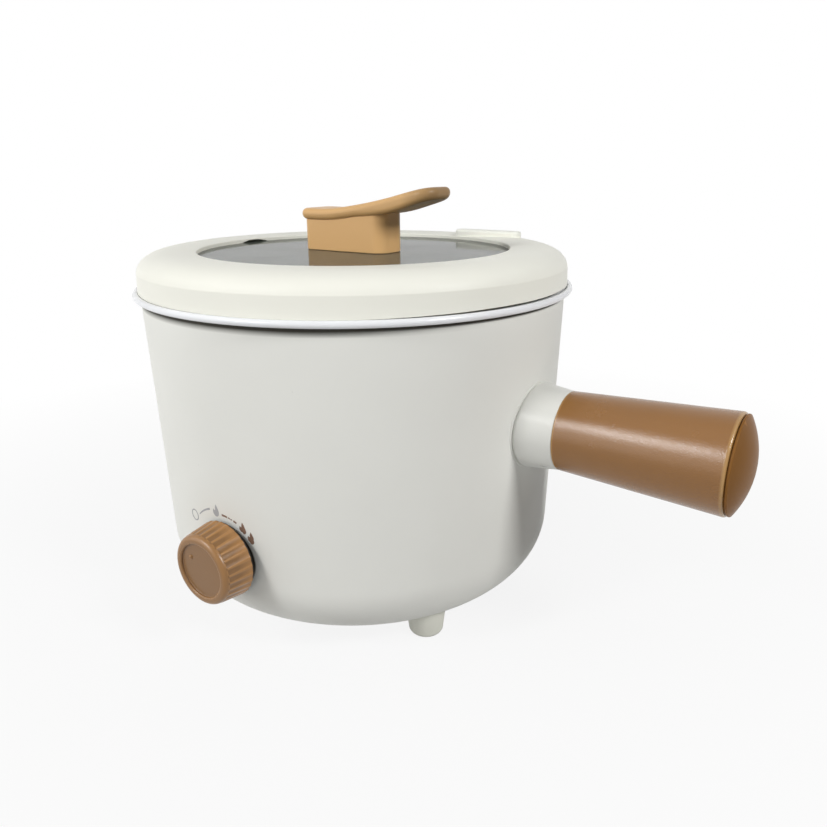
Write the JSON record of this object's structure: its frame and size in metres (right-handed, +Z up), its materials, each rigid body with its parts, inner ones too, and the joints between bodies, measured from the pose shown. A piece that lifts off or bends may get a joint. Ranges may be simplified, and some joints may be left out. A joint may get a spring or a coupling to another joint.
{
  "type": "electric cooking pan",
  "caption": "Round double-walled electric cooking pan on small feet, with a straight side handle, a fluted heat knob on its wall and a lift-off lid that has a glass window.",
  "frame": {"origin": "on the table, under the axis of the round pot", "axes": "+X along the handle, -Y towards the heat knob, +Z up"},
  "size_m": [0.2829, 0.2089, 0.1918],
  "materials": {
    "shell_white": "smooth satin white",
    "base_grey": "fine matt white",
    "pot_coat": "white ceramic coat",
    "tan_plastic": "satin moulded tan",
    "lid_cream": "smooth satin cream",
    "lid_window": "clear toughened glass",
    "silicone": "pale silicone",
    "heater_alloy": "as cast",
    "zinc_steel": "zinc plated",
    "element_sheath": "heat-tinted tube",
    "cutout_case": "plain drawn case",
    "control_black": "matt black moulding",
    "porcelain": "glazed white",
    "wire_cover": "matt silicone sleeve"
  },
  "bodies": {
    "base": {"base_cover": "base_grey", "base_cover_screws": "zinc_steel", "base_wires": "wire_cover", "control_bracket": "zinc_steel", "control_bracket_screws": "zinc_steel", "cord_gland": "shell_white", "feet": "shell_white", "foot_screws": "zinc_steel", "handle_bolt": "zinc_steel", "handle_collar": "shell_white", "handle_end_cap": "tan_plastic", "handle_grip": "tan_plastic", "handle_nut": "zinc_steel", "handle_washers": "zinc_steel", "heat_shield": "zinc_steel", "heater_plate": "heater_alloy", "heating_element": "element_sheath", "inner_pot": "pot_coat", "outer_shell": "shell_white", "overheat_cutout": "cutout_case", "pot_stud": "zinc_steel", "stud_nut": "zinc_steel", "stud_spacers": "zinc_steel", "stud_washer": "zinc_steel", "terminal_block": "porcelain", "thermal_fuse": "cutout_case", "thermostat": "control_black", "tie_bar": "zinc_steel", "tie_bar_screws": "zinc_steel"},
    "lid": {"lid_ring": "lid_cream", "lid_retainer": "lid_cream", "lid_retainer_screws": "zinc_steel", "lid_gasket": "silicone", "lid_glass": "lid_window", "lid_grip_block": "tan_plastic", "lid_grip_plate": "tan_plastic", "lid_grip_screws": "zinc_steel", "lid_grip_washers": "silicone", "lid_tab": "lid_cream"},
    "knob": {"control_knob": "tan_plastic", "control_spindle": "zinc_steel"}
  },
  "joints": [
    {"name": "lid_lift", "type": "slide", "parent": "base", "child": "lid", "axis": [0, 0, 1], "range_m": [0, 0.12]},
    {"name": "knob_turn", "type": "hinge", "parent": "base", "child": "knob", "pos_m": [0.0037, -0.095, 0.047], "axis": [0, 1, 0], "range_deg": [0, 105]}
  ]
}
